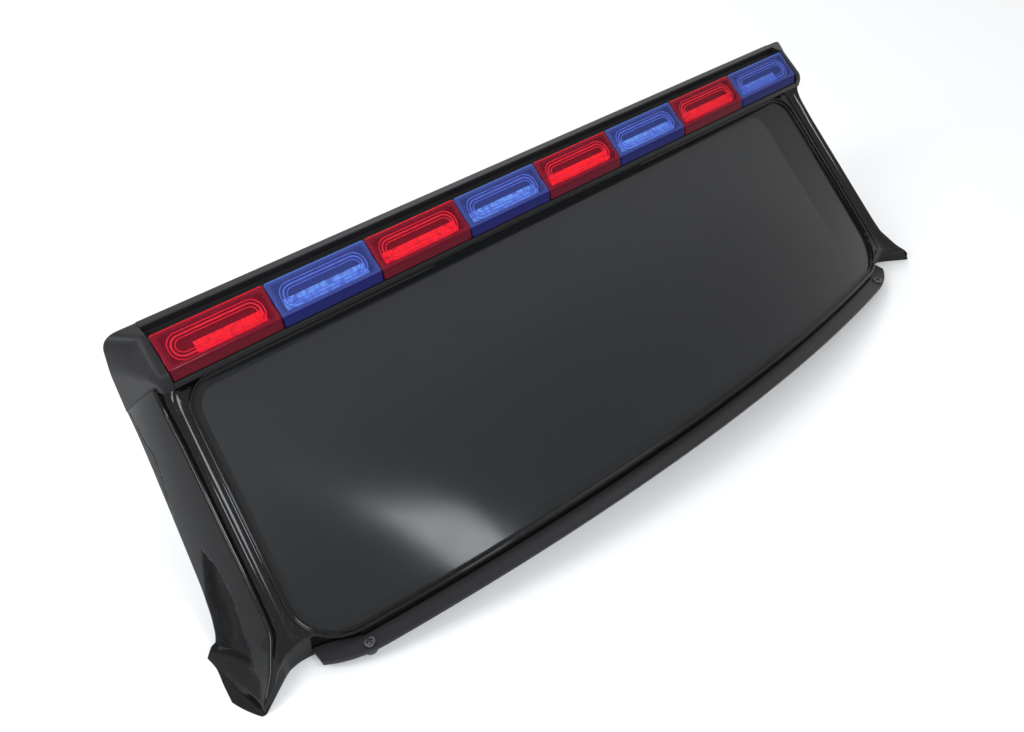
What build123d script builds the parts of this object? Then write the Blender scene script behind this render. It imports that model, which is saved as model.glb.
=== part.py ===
from build123d import *
from math import atan2, cos, hypot, radians, sin
import os

# Windscreen of a child's ride-on police pickup, with its roof-edge light bar.
# Millimetres. X runs along the bar, -Y is the side that faces forward, +Z is up.
# The origin lies midway between the two flange screws, on the flange's top face.
# Places on the slope are given as u along X, v up the slope and n out of the pane's outer face.
RAKE = 41.8
PANE_FACE = -11.9
FIT_GAP = 0.3
WALL = 2.6

# Pane opening, set in from the bar's ends at its top and wider below, and how far the middle of
# the pane bows out at its top and at its bottom edge.
OPEN_TOP_V = 175.5
OPEN_LOW_V = 12.8
OPEN_MID_V = 5.2
OPEN_TOP_INSET = 6.5
OPEN_SPREAD = 11.5
OPEN_TOP_R = 18.0
OPEN_LOW_R = 28.0
BOW_TOP = 4.0
BOW_LOW = 43.0
PANE_T = 2.5
PANE_OVERLAP = 3.0
RETAINER_T = 4.0
RETAINER_SIGHT = 4.0

# Front moulding: a stepped lip round the pane, then a channel, a crease and the side face.
LEDGE_WIDTH = 1.4
LEDGE_PROUD = 1.0
LIP_WIDTH = 3.6
LIP_PROUD = 3.3
ROOT_N = 2.2
CHANNEL_SAG = 2.4
SIDE_BULGE = 0.8
FRAME_BACK = 30.0
CORNER_REACH = 36.0
SIDE_SPARE = 64.0
RECESS_DEPTH = 2.0
RECESS_ROUND = 2.0
FOOT_Z = -12.0
NOTCH_EASE = 0.5
SEAM_V = 181.8

# Lower rail and the screw flange in front of it.
SCREW_INSET = 28.0
SCREW_HOLE_R = 2.25
BOSS_R = 4.4
BOSS_DROP = 7.0
FLANGE_T = 2.5
FLANGE_FRONT = 5.6
FLANGE_PAST = 26.0
FLANGE_DEEP = 20.0
FLANGE_END_R = 76.0
FLANGE_END_BACK = 7.0
RAIL_LAP = 1.5
RAIL_EASE = 0.5

# Light bar, in a section of its own: y to the rear and z up from the lenses' rear top edge.
BAR_UP = 33.0
BAR_OUT = 17.4
LENS_COUNT = 8
LENS_PITCH = 70.0
LENS_GAP = 0.6
LENS_WALL = 2.0
LENS_ROUND = 1.2
RIDGE_Y = -19.0
RIDGE_Z = -13.5
LENS_FOOT_Y = -20.1
LENS_FOOT_Z = -20.4
TRACK_LENGTH = 62.0
TRACK_CENTRE = 12.8
TRACK_WIDTH = 15.4
TRACK_STEP = 2.0
TRACK_COUNT = 2
TRACK_DEEP = 0.5
STRIP_LENGTH = 56.0
STRIP_SHORT = 15.0
STRIP_WIDTH = 8.4
STRIP_T = 1.2
STRIP_CENTRE = 14.0
STRIP_DEPTH = 6.4
CHIP_COUNT = 7
CHIP_LENGTH = 6.0
CHIP_WIDTH = 2.6
CHIP_SPREAD = 3.4
CHIP_T = 1.2
RECESS_FLOOR = -4.2
RIM_Y = 15.5
RIM_Z = 0.9
RIM_W = 6.8
RIM_ROUND = 1.5
RIM_FALL = 0.4
LIP_AHEAD = 1.0
LIP_DROP = 4.6
LIP_T = 5.8
CAP_HOLE_R = 1.6
CAP_HOLE_DEEP = 4.0
CAP_HOLE_OUT = 20.0
CAP_HOLE_Y = 10.0
CAP_HOLE_Z = -48.0

OUT = Vector(0, -sin(radians(RAKE)), cos(radians(RAKE)))
UP_SLOPE = Vector(0, cos(radians(RAKE)), sin(radians(RAKE)))
SLOPE = Plane(origin=OUT * PANE_FACE, x_dir=(1, 0, 0), z_dir=OUT)
BAR_HALF = LENS_COUNT * LENS_PITCH / 2
OPEN_TOP_HALF = BAR_HALF - OPEN_TOP_INSET
OPEN_LOW_HALF = OPEN_TOP_HALF + OPEN_SPREAD
SCREW_HALF = OPEN_LOW_HALF - SCREW_INSET
INNER_WALL = PANE_OVERLAP + WALL
REACH = OPEN_LOW_HALF + SIDE_SPARE
THROUGH = 3 * FRAME_BACK


def on_slope(u, v, n):
    """A point given along the bar, up the slope and out of the pane."""
    return SLOPE.from_local_coords(Vector(u, v, n))


SEAT_DEPTH = STRIP_DEPTH + STRIP_T + FIT_GAP
BAR = on_slope(0, OPEN_TOP_V + BAR_UP, BAR_OUT)


def open_half(v):
    """Half the opening's width at a height up the slope, with its corners left sharp."""
    return OPEN_TOP_HALF + (OPEN_LOW_HALF - OPEN_TOP_HALF) * (OPEN_TOP_V - v) / (OPEN_TOP_V - OPEN_LOW_V)


def bow_at(u, v):
    """Height of the pane above the flat slope: an arch across, growing towards the bottom."""
    rise = BOW_TOP + (BOW_LOW - BOW_TOP) * (OPEN_TOP_V - v) / (OPEN_TOP_V - OPEN_MID_V)
    return rise * (1 - (u / OPEN_LOW_HALF) ** 2)


def pane_edge(u):
    """Where the pane's face meets the lower edge of the opening, before its corners."""
    v = OPEN_MID_V + (OPEN_LOW_V - OPEN_MID_V) * (u / OPEN_LOW_HALF) ** 2
    return on_slope(u, v, bow_at(u, v))


def bowed_slab(n_back, n_front):
    """A sheet that follows the pane's bow, between two heights above its outer face."""
    sections = []
    for v in (OPEN_MID_V - CORNER_REACH, OPEN_TOP_V + CORNER_REACH):
        ends, middle = bow_at(REACH, v), bow_at(0, v)
        back = [on_slope(u, v, n_back + h) for u, h in ((-REACH, ends), (0, middle), (REACH, ends))]
        front = [on_slope(u, v, n_front + h) for u, h in ((REACH, ends), (0, middle), (-REACH, ends))]
        outline = [ThreePointArc(*back), Line(back[2], front[0]),
                   ThreePointArc(*front), Line(front[2], back[0])]
        sections.append(make_face(outline))
    return loft(sections, ruled=True)


def opening_face(grow):
    """The opening's outline on the slope, larger by grow all round."""
    top_v, low_v, mid_v = OPEN_TOP_V + grow, OPEN_LOW_V - grow, OPEN_MID_V - grow
    top_half, low_half = OPEN_TOP_HALF + grow, OPEN_LOW_HALF + grow
    edges = [Line((-top_half, top_v), (top_half, top_v)), Line((top_half, top_v), (low_half, low_v)),
             ThreePointArc((low_half, low_v), (0, mid_v), (-low_half, low_v)),
             Line((-low_half, low_v), (-top_half, top_v))]
    face = make_face(edges)
    face = fillet(face.vertices().sort_by(Axis.Y)[-2:], OPEN_TOP_R + grow)
    lower = [face.vertices().sort_by_distance((side * low_half, low_v))[0] for side in (-1, 1)]
    return fillet(lower, OPEN_LOW_R + grow)


def opening_prism(grow, n_back=-THROUGH, n_front=THROUGH):
    return extrude(SLOPE * Pos(0, 0, n_back) * opening_face(grow), n_front - n_back)


def slope_box(half, v0, v1, n0, n1):
    """A box square to the slope, centred on the part's middle."""
    return SLOPE * Pos(0, (v0 + v1) / 2, (n0 + n1) / 2) * Box(2 * half, v1 - v0, n1 - n0)


def mirrored(solid):
    return mirror(solid, Plane.YZ)


def pane():
    return bowed_slab(-PANE_T, 0) & opening_prism(PANE_OVERLAP - FIT_GAP)


def pane_retainer():
    """Ring that presses the pane into the frame from behind."""
    back = -PANE_T - FIT_GAP
    ring = bowed_slab(back - RETAINER_T, back) & opening_prism(PANE_OVERLAP - FIT_GAP)
    return ring - opening_prism(-RETAINER_SIGHT)


# The bar's own section, as (y, z) from the lenses' rear top edge.
def along_bar(points, x0, x1, rounds=()):
    """A section of the bar carried from one x to another; rounds are (corner, radius) pairs."""
    face = make_face(Polyline(*[(x0, BAR.Y + y, BAR.Z + z) for y, z in points], close=True))
    for (y, z), radius in rounds:
        corner = face.vertices().sort_by_distance((x0, BAR.Y + y, BAR.Z + z))[0]
        face = fillet(corner, radius)
    return extrude(face, x1 - x0, dir=(1, 0, 0))


FACE_LENGTH = hypot(RIDGE_Y, RIDGE_Z)
LIP_Y = LENS_FOOT_Y - LIP_AHEAD
LIP_Z = LENS_FOOT_Z - LIP_DROP


def seam_z(y, rise=0.0):
    """Height in the bar's section of the seam below it, or of a line parallel to it, at y."""
    return (SEAM_V + rise - OPEN_TOP_V - BAR_UP - y * UP_SLOPE.Y) / UP_SLOPE.Z


def seam_y(z, rise=0.0):
    return (SEAM_V + rise - OPEN_TOP_V - BAR_UP - z * UP_SLOPE.Z) / UP_SLOPE.Y


def under_lens(down, deep):
    """A point of the bar's section, down the lens's sloping face and square into it."""
    y_step, z_step = RIDGE_Y / FACE_LENGTH, RIDGE_Z / FACE_LENGTH
    return (down * y_step - deep * z_step, down * z_step + deep * y_step)


def above_seam():
    """The space above the seam between the frame and the bar."""
    return slope_box(2 * REACH, SEAM_V, SEAM_V + 2 * THROUGH, -THROUGH, THROUGH)


# One row for each section of a pillar: its share of the opening's height, then how far outside
# the opening's edge the crease lies and its n, and the same for the rear corner.
PILLAR_SECTIONS = (
    (1.06, 17.6, 9.5, 29.5, -30),
    (0.99, 16.8, 5.0, 29.6, -30),
    (0.80, 15.8, 5.0, 30.6, -30),
    (0.55, 16.0, 5.0, 33.0, -30),
    (0.30, 16.0, 5.0, 36.0, -30),
    (0.20, 16.4, 4.9, 38.8, -33),
    (0.13, 16.9, 4.8, 44.0, -38),
    (0.01, 26.5, 4.0, 45.0, -44),
    (-0.055, 35.0, 4.0, 45.5, -44),
    (-0.20, 35.6, -17.0, 46.0, -44),
)


def pillar_rows(inset=0.0):
    """Each section's v, opening edge, crease and rear corner drawn in by inset, and side direction."""
    rows = []
    for share, crease_out, crease_n, rear_out, rear_n in PILLAR_SECTIONS:
        v = OPEN_LOW_V + share * (OPEN_TOP_V - OPEN_LOW_V)
        edge = open_half(v)
        crease, rear = Vector(edge + crease_out, crease_n), Vector(edge + rear_out, rear_n)
        along = (rear - crease).normalized()
        side = Vector(-along.Y, along.X)
        rows.append((v, edge, crease - side * inset, rear - side * inset, side))
    return rows


def section_face(v, curves):
    """Face square to the slope's own up direction, from lines and arcs given as lists of (u, n)."""
    edges = []
    for curve in curves:
        points = [on_slope(u, v, n) for u, n in curve]
        edges.append(Line(*points) if len(points) == 2 else ThreePointArc(*points))
    return make_face(edges)


def post(inner_out=-CORNER_REACH):
    """Outside of the right pillar: lip root, hollow channel, crease, side face and back."""
    faces = []
    for v, edge, crease, rear, side in pillar_rows():
        swell = (crease + rear) / 2 + side * SIDE_BULGE
        root = (edge + LIP_WIDTH, ROOT_N)
        floor = ((root[0] + crease.X) / 2, (root[1] + crease.Y) / 2 - CHANNEL_SAG)
        inner = (edge + inner_out, ROOT_N + bow_at(edge + inner_out, v))
        back = (edge + inner_out, -FRAME_BACK)
        crease, swell, rear = (crease.X, crease.Y), (swell.X, swell.Y), (rear.X, rear.Y)
        faces.append(section_face(v, [(inner, root), (root, floor, crease), (crease, swell, rear),
                                      (rear, back), (back, inner)]))
    return loft(faces, ruled=True)


def pillar_hollow(gap=0.0):
    """Space inside the right pillar, open to the back, drawn in by the wall and a gap."""
    faces = []
    inset = WALL + gap
    for v, edge, crease, rear, side in pillar_rows(inset):
        inner_x, roof = edge + INNER_WALL + gap, ROOT_N - CHANNEL_SAG - inset
        swell = (crease + rear) / 2 + side * SIDE_BULGE
        crease, swell, rear = (crease.X, min(crease.Y, roof)), (swell.X, swell.Y), (rear.X, rear.Y)
        beyond, back = (rear[0], -THROUGH), (inner_x, -THROUGH)
        faces.append(section_face(v, [((inner_x, roof), crease), (crease, swell, rear), (rear, beyond),
                                      (beyond, back), (back, (inner_x, roof))]))
    return loft(faces, ruled=True) & above_ground(inset)


# The side recess of a pillar as (share of the opening's height, n), from its apex down the front.
SIDE_RECESS = ((0.495, -15.0), (0.40, -10.0), (0.31, -8.0), (0.18, -9.5), (0.054, -11.4),
               (0.19, -42.0), (0.33, -34.0))

# Plan of the foot's front wall, as x outside the opening's low corner and y. The bonnet's
# corner fits in front of it.
NOTCH = ((-20.0, 11.8), (-12.0, 17.0), (-4.0, 20.5), (5.0, 21.8), (13.0, 21.2), (21.5, 16.5),
         (27.6, 10.2), (32.8, 7.1), (36.3, 6.8))

# The skirt along the outside of the foot. One row for each section: y, then how far outside the
# opening's low corner its inner side, base, edge and shelf lie, with the heights of edge and shelf.
SKIRT_SECTIONS = (
    (5.0, 14.0, 36.0, 34.6, -4.4, 31.0, -2.8),
    (28.0, 14.0, 41.0, 37.8, -8.0, 29.5, -3.0),
    (45.0, 20.0, 42.9, 40.0, -8.8, 32.5, -4.5),
    (61.0, 36.0, 45.3, 43.0, -9.7, 40.0, -7.0),
)


def side_recess(depth):
    """What lies outside the pillar's side, drawn in by depth, within the three-cornered recess."""
    height = OPEN_TOP_V - OPEN_LOW_V
    corners = [on_slope(OPEN_LOW_HALF, OPEN_LOW_V + share * height, n) for share, n in SIDE_RECESS]
    outline = make_face(Polyline(*corners, close=True))
    outline = fillet(outline.vertices(), RECESS_ROUND)
    return extrude(outline, 2 * CORNER_REACH, dir=(1, 0, 0)) - Pos(-depth, 0, 0) * post()


def front_room(shift):
    """Everything in front of the lower rail's wall and of both feet, moved back by shift."""
    right = [(SCREW_HALF, RAIL_WALL_Y)] + [(OPEN_LOW_HALF + x, y) for x, y in NOTCH]
    left = [(-x, y) for x, y in reversed(right)]
    first, last = left[0], right[-1]
    far_x, far_y = last[0] + CORNER_REACH, -2 * CORNER_REACH
    rest = Polyline(last, (far_x, last[1]), (far_x, far_y), (-far_x, far_y), (-far_x, first[1]), first)
    rail_line = ThreePointArc(left[-1], (0, RAIL_WALL_Y + RAIL_BOW.Y), right[0])
    face = make_face([Spline(*left), rail_line, Spline(*right), *rest.edges()])
    return Pos(0, shift, -THROUGH) * extrude(face, 2 * THROUGH)


def skirt():
    """Flared edge along the outside of the foot: a shelf, a rounded edge and a low wall."""
    faces = []
    for y, inner, base, edge, edge_z, shelf, shelf_z in SKIRT_SECTIONS:
        corners = [(inner, FOOT_Z), (base, FOOT_Z), (edge, edge_z), (shelf, shelf_z), (inner, shelf_z)]
        faces.append(make_face(Polyline(*[(OPEN_LOW_HALF + x, y, z) for x, z in corners], close=True)))
    return loft(faces, ruled=True)


def above_ground(floor=0.0):
    size = 2 * REACH
    return Pos(0, 0, FOOT_Z + floor + size / 2) * Box(2 * size, size, size)


# The line where a pillar's cover begins, as (share of the opening's height, n).
PARTING = ((1.30, -25.0), (0.86, -22.0), (0.60, -31.0), (-0.30, -40.0))


def rear_share():
    """Space behind the parting line of the right pillar and its cover."""
    line = [on_slope(0, OPEN_LOW_V + share * (OPEN_TOP_V - OPEN_LOW_V), n) for share, n in PARTING]
    ends = [on_slope(0, OPEN_LOW_V + share * (OPEN_TOP_V - OPEN_LOW_V), -THROUGH) for share, _ in PARTING]
    face = make_face(Polyline(*line, ends[-1], ends[0], close=True))
    return extrude(face, REACH, dir=(1, 0, 0))


def pillar():
    """Right pillar and foot, cut off under the bar and at the parting line of its cover."""
    body = (post() - rear_share() - side_recess(RECESS_DEPTH)) & above_ground()
    return (body + skirt()) - front_room(NOTCH_EASE) - above_seam()


def pillar_cavity(gap=0.0):
    """The pillar's hollow, kept a wall's thickness from the side recess and from the front wall."""
    inset = WALL + gap
    return pillar_hollow(gap) - side_recess(RECESS_DEPTH + inset) - front_room(NOTCH_EASE + inset)


def pillar_cover():
    """Cover that closes the back of the right pillar and wraps round its upper rear corner."""
    low_v, high_v = OPEN_LOW_V - CORNER_REACH, OPEN_TOP_V + CORNER_REACH
    sheet = slope_box(2 * REACH, low_v, high_v, -FRAME_BACK, -FRAME_BACK + WALL)
    plug = pillar_cavity(FIT_GAP) & sheet
    behind = Pos(*(OUT * -FIT_GAP)) * rear_share()
    wrap = (post(PANE_OVERLAP) & behind) - (pillar_hollow() - sheet)
    return ((plug + wrap) & above_ground(WALL + FIT_GAP)) - above_seam()


EDGE_AT_SCREW = pane_edge(SCREW_HALF)
RAIL_BOW = pane_edge(0) - EDGE_AT_SCREW
RAIL_WALL_Y = EDGE_AT_SCREW.Y - LIP_WIDTH * UP_SLOPE.Y + LIP_PROUD * OUT.Y
RAIL_TOP = EDGE_AT_SCREW.Z - LIP_WIDTH * UP_SLOPE.Z + LIP_PROUD * OUT.Z


def rail_path(half):
    """The lower rail's line: one arc through the screws that bows forward and up between them."""
    bow = hypot(RAIL_BOW.Y, RAIL_BOW.Z)
    radius = (SCREW_HALF ** 2 + bow ** 2) / (2 * bow)
    share = 1 - (radius - (radius ** 2 - half ** 2) ** 0.5) / bow
    ends = [(side * half, RAIL_BOW.Y * share, RAIL_BOW.Z * share) for side in (-1, 1)]
    return ThreePointArc(ends[0], (0, RAIL_BOW.Y, RAIL_BOW.Z), ends[1])


def along_rail(points, half):
    """A section given as (y, z) at the screws, carried along the lower rail."""
    middle = [(0, RAIL_BOW.Y + y, RAIL_BOW.Z + z) for y, z in points]
    section = make_face(Polyline(*middle, close=True))
    path = rail_path(half)
    return sweep(section, path.trim(0, 0.5)) + sweep(section, path.trim(0.5, 1))


def rail():
    front, rear = RAIL_WALL_Y, RAIL_WALL_Y + WALL
    points = [(front, -FLANGE_T), (front, RAIL_TOP - RAIL_EASE), (front + RAIL_EASE, RAIL_TOP),
              (rear, RAIL_TOP), (rear, -FLANGE_T)]
    return along_rail(points, SCREW_HALF + RAIL_LAP)


def header():
    """Thin top member between the pillars, under the bar."""
    return slope_box(OPEN_TOP_HALF, OPEN_TOP_V - LIP_WIDTH, SEAM_V, -FRAME_BACK, ROOT_N)


def windscreen_frame():
    """Gloss front moulding: two hollow pillars on feet, a lip round the pane, header and rail."""
    right, cavity = pillar(), pillar_cavity()
    ring = (bowed_slab(-PANE_T, LIP_PROUD) & opening_prism(LIP_WIDTH)) - above_seam()
    step = bowed_slab(LEDGE_PROUD, LIP_PROUD + 1) & opening_prism(LEDGE_WIDTH)
    body = right + mirrored(right) + (ring - step) + header() + rail()
    body = body - cavity - mirrored(cavity) - opening_prism(0)
    return body - (bowed_slab(-THROUGH, FIT_GAP) & opening_prism(PANE_OVERLAP))


def flange_corner():
    """What the flange's right end loses to a large radius that runs on from its front edge."""
    x = SCREW_HALF - FLANGE_END_BACK
    share = x / SCREW_HALF
    lean = atan2(-2 * RAIL_BOW.Y * share, SCREW_HALF)
    front_y = RAIL_BOW.Y * (1 - share ** 2) - FLANGE_FRONT
    centre_x, centre_y = x - FLANGE_END_R * sin(lean), front_y + FLANGE_END_R * cos(lean)
    span = 2 * FLANGE_END_R
    block = Pos(x + span / 2, centre_y - span / 2, 0) * Box(span, span, span)
    return block - Pos(centre_x, centre_y, 0) * Cylinder(FLANGE_END_R, span)


def screw_flange():
    """Strip screwed to the cowl in front of the rail and feet, with a boss under each screw."""
    corners = [(-FLANGE_FRONT, -FLANGE_T), (FLANGE_DEEP, -FLANGE_T), (FLANGE_DEEP, 0), (-FLANGE_FRONT, 0)]
    strip = along_rail(corners, SCREW_HALF + FLANGE_PAST)
    strip = (strip & front_room(-FIT_GAP)) - flange_corner() - mirrored(flange_corner())
    for x in (-SCREW_HALF, SCREW_HALF):
        strip += Pos(x, 0, -BOSS_DROP / 2) * Cylinder(BOSS_R, BOSS_DROP)
        strip -= Pos(x, 0, 0) * Cylinder(SCREW_HOLE_R, 4 * BOSS_DROP)
    return strip


def lens_inner():
    """The lens's section drawn in by its wall, from its rear leg round to its front foot."""
    rise = (RIDGE_Z - LENS_FOOT_Z) / (RIDGE_Y - LENS_FOOT_Y)
    slope = RIDGE_Z / RIDGE_Y
    front_y = LENS_FOOT_Y + LENS_WALL
    top = under_lens(0, LENS_WALL)
    drop = top[1] - slope * top[0]
    foot_line = LENS_FOOT_Z - rise * front_y
    y = (foot_line - drop) / (slope - rise)
    return [(-LENS_WALL, drop - slope * LENS_WALL), (y, drop + slope * y), (front_y, LENS_FOOT_Z)]


def lens(index):
    """One lens cover: a sloping face, a steep front lip, closed ends and a stepped racetrack pad inside."""
    x0 = -BAR_HALF + index * LENS_PITCH + LENS_GAP / 2
    x1 = x0 + LENS_PITCH - LENS_GAP
    leg, bend, foot = lens_inner()
    outer = [(0, 0), (RIDGE_Y, RIDGE_Z), (LENS_FOOT_Y, LENS_FOOT_Z), foot,
             (leg[0] - 2 * FIT_GAP, leg[1]), (0, leg[1])]
    inner = [leg, bend, foot, (foot[0], foot[1] - LENS_WALL), (leg[0], foot[1] - LENS_WALL)]
    cover = along_bar(outer, x0, x1, [((RIDGE_Y, RIDGE_Z), LENS_ROUND), ((0, 0), LENS_ROUND / 2)])
    cover -= along_bar(inner, x0 + LENS_WALL / 2, x1 - LENS_WALL / 2)
    middle_y, middle_z = under_lens(TRACK_CENTRE, LENS_WALL)
    inward = Vector(0, *under_lens(0, 1))
    middle = ((x0 + x1) / 2, BAR.Y + middle_y, BAR.Z + middle_z)
    inside = Plane(origin=middle, x_dir=(1, 0, 0), z_dir=inward)
    for step in range(TRACK_COUNT):
        pad = SlotOverall(TRACK_LENGTH - 2 * step * TRACK_STEP, TRACK_WIDTH - 2 * step * TRACK_STEP)
        cover += extrude(inside * pad, (step + 1) * TRACK_DEEP)
    return cover


def led_strip(index):
    """Board with two rows of lamps behind one lens; the outer two are shorter at the bar's ends."""
    first, last = index == 0, index == LENS_COUNT - 1
    centre = -BAR_HALF + (index + 0.5) * LENS_PITCH
    x0 = centre - STRIP_LENGTH / 2 + (STRIP_SHORT if first else 0)
    x1 = centre + STRIP_LENGTH / 2 - (STRIP_SHORT if last else 0)
    near, far = STRIP_CENTRE - STRIP_WIDTH / 2, STRIP_CENTRE + STRIP_WIDTH / 2
    base = STRIP_DEPTH + STRIP_T
    board = along_bar([under_lens(near, STRIP_DEPTH), under_lens(far, STRIP_DEPTH),
                       under_lens(far, base), under_lens(near, base)], x0, x1)
    count = round(CHIP_COUNT * (x1 - x0) / STRIP_LENGTH)
    pitch = (x1 - x0) / count
    for row in (-1, 1):
        low = STRIP_CENTRE + row * CHIP_SPREAD / 2 - CHIP_WIDTH / 2
        high, top = low + CHIP_WIDTH, STRIP_DEPTH - CHIP_T
        outline = [under_lens(low, top), under_lens(high, top),
                   under_lens(high, STRIP_DEPTH), under_lens(low, STRIP_DEPTH)]
        for place in range(count):
            x = x0 + (place + 0.5) * pitch
            board += along_bar(outline, x - CHIP_LENGTH / 2, x + CHIP_LENGTH / 2)
    return board


def bar_hollow():
    """Corners of the space inside the bar: behind the shelf, under the recess and the rim."""
    shelf_y, rear_y = under_lens(STRIP_CENTRE, SEAT_DEPTH)[0] + WALL, RIM_Y - WALL
    top_z = RECESS_FLOOR - WALL
    slope = RIDGE_Z / RIDGE_Y
    below = under_lens(0, SEAT_DEPTH + WALL)
    bend_y = below[0] + (top_z - below[1]) / slope
    roof = [(shelf_y, below[1] + (shelf_y - below[0]) * slope), (bend_y, top_z), (rear_y, top_z)]
    return shelf_y, rear_y, roof


def bar_housing():
    """Tray under the lenses: a shelf for the strips, a dark recess and a raised rim behind."""
    slot_y = RIM_Y - RIM_W
    lip_rear = LIP_Y + LIP_T
    ledge_z = LENS_FOOT_Z - FIT_GAP
    floor = FIT_GAP + WALL
    wall_y = -LENS_WALL - FIT_GAP
    seat = under_lens(0, SEAT_DEPTH)
    shelf_high = (wall_y, seat[1] + (wall_y - seat[0]) * RIDGE_Z / RIDGE_Y)
    shelf_low = under_lens(STRIP_CENTRE, SEAT_DEPTH)
    outer = [(wall_y, RECESS_FLOOR), (slot_y, RECESS_FLOOR), (slot_y, RIM_Z), (RIM_Y, RIM_Z - RIM_FALL),
             (RIM_Y, seam_z(RIM_Y, FIT_GAP)), (lip_rear, seam_z(lip_rear, FIT_GAP)),
             (lip_rear, LIP_Z), (LIP_Y, LIP_Z), (LIP_Y, ledge_z), (seam_y(ledge_z, floor), ledge_z),
             (shelf_low[0], seam_z(shelf_low[0], floor)), shelf_low, shelf_high]
    rounds = [((RIM_Y, RIM_Z - RIM_FALL), RIM_ROUND), ((slot_y, RIM_Z), RIM_ROUND / 2)]
    tray = along_bar(outer, -BAR_HALF, BAR_HALF, rounds)
    shelf_y, rear_y, roof = bar_hollow()
    hollow = roof + [(rear_y, seam_z(rear_y) - WALL), (shelf_y, seam_z(shelf_y) - WALL)]
    return tray - along_bar(hollow, -BAR_HALF - 1, BAR_HALF + 1)


def header_cover():
    """Strip that closes the underside of the bar, over the header."""
    shelf_y, rear_y, _ = bar_hollow()
    low, high = shelf_y + FIT_GAP, rear_y - FIT_GAP
    corners = [(low, seam_z(low, FIT_GAP)), (high, seam_z(high, FIT_GAP)),
               (high, seam_z(high, FIT_GAP + WALL)), (low, seam_z(low, FIT_GAP + WALL))]
    return along_bar(corners, -BAR_HALF, BAR_HALF)


# One row for each section of an end cap: y from the bar's datum, then how far its lower and its
# upper outer corner reach past the lenses, and the upper corner's height.
CAP_SECTIONS = (
    (LIP_Y, 6.5, 5.0, -15.0),
    (0.5, 16.0, 4.5, 0.4),
    (RIM_Y, 22.4, 21.5, 0.4),
)


def end_cap():
    """Satin cap that closes the bar at its right end and spreads outwards to the rear."""
    x0 = BAR_HALF + FIT_GAP
    faces = []
    for y, low_out, top_out, top_z in CAP_SECTIONS:
        low_z = seam_z(y, FIT_GAP)
        corners = [(x0, low_z), (BAR_HALF + low_out, low_z), (BAR_HALF + top_out, top_z), (x0, top_z)]
        faces.append(make_face(Polyline(*[(x, BAR.Y + y, BAR.Z + z) for x, z in corners], close=True)))
    body = loft(faces, ruled=True)
    hole = Pos(BAR_HALF + CAP_HOLE_OUT, BAR.Y + CAP_HOLE_Y, BAR.Z + CAP_HOLE_Z) * Rot(0, 90, 0)
    return body - hole * Cylinder(CAP_HOLE_R, 2 * CAP_HOLE_DEEP)


os.makedirs("parts", exist_ok=True)

cover, cap = pillar_cover(), end_cap()
pieces = {
    "windscreen_frame": windscreen_frame(),
    "screw_flange": screw_flange(),
    "pane": pane(),
    "pane_retainer": pane_retainer(),
    "pillar_cover_right": cover,
    "pillar_cover_left": mirrored(cover),
    "header_cover": header_cover(),
    "bar_housing": bar_housing(),
    "end_cap_right": cap,
    "end_cap_left": mirrored(cap),
}
for index in range(LENS_COUNT):
    pieces[f"lens_{index + 1}"] = lens(index)
    pieces[f"led_strip_{index + 1}"] = led_strip(index)
for name, piece in pieces.items():
    export_step(piece, f"parts/{name}.step")
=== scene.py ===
import bmesh
import bpy
import numpy as np
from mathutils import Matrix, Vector


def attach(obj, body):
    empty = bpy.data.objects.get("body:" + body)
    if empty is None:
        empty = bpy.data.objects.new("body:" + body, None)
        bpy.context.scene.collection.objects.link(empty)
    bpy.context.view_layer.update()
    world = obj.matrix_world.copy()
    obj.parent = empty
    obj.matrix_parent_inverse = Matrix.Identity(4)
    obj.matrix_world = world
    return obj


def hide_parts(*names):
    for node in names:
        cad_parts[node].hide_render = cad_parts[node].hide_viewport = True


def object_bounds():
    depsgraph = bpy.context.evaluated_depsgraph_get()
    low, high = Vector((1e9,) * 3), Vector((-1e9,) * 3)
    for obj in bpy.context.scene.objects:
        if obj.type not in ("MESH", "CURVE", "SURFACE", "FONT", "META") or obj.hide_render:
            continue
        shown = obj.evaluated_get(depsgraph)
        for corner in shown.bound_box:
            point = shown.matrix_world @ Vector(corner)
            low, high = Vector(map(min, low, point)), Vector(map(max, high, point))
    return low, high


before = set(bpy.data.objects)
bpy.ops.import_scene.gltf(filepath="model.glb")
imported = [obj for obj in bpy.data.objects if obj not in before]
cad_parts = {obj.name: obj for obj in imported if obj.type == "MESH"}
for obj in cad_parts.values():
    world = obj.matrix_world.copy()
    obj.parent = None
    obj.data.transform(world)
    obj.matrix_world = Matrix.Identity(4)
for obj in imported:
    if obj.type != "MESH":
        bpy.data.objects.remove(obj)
cad_box = [list(map(float, corner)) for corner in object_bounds()]

# Studio. The camera stands in front of the windscreen's left pillar and above it, and looks down
# across the pane. Under the feet lies a pale, even floor, and soft lamps hang over it.
camera = bpy.data.objects.new("camera", bpy.data.cameras.new("camera"))
camera.data.lens = 31.64
camera.data.sensor_width = 36.0
camera.location = (-0.3728, -0.2563, 0.4603)
camera.rotation_euler = np.radians((47.41, 0.0, -40.96))
scene = bpy.context.scene
scene.collection.objects.link(camera)
scene.camera = camera
scene.view_settings.view_transform = "Standard"


class Signal:
    """One output of a node. Arithmetic on it adds Math nodes to the same tree."""

    def __init__(self, tree, socket):
        self.tree, self.socket = tree, socket

    def maths(self, operation, *values):
        return self.tree.node("Math", {"operation": operation}, dict(enumerate(values)))

    def __add__(self, other):
        return self.maths("ADD", self, other)

    def __sub__(self, other):
        return self.maths("SUBTRACT", self, other)

    def __rsub__(self, other):
        return self.maths("SUBTRACT", other, self)

    def __mul__(self, other):
        return self.maths("MULTIPLY", self, other)

    __radd__, __rmul__ = __add__, __mul__


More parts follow.
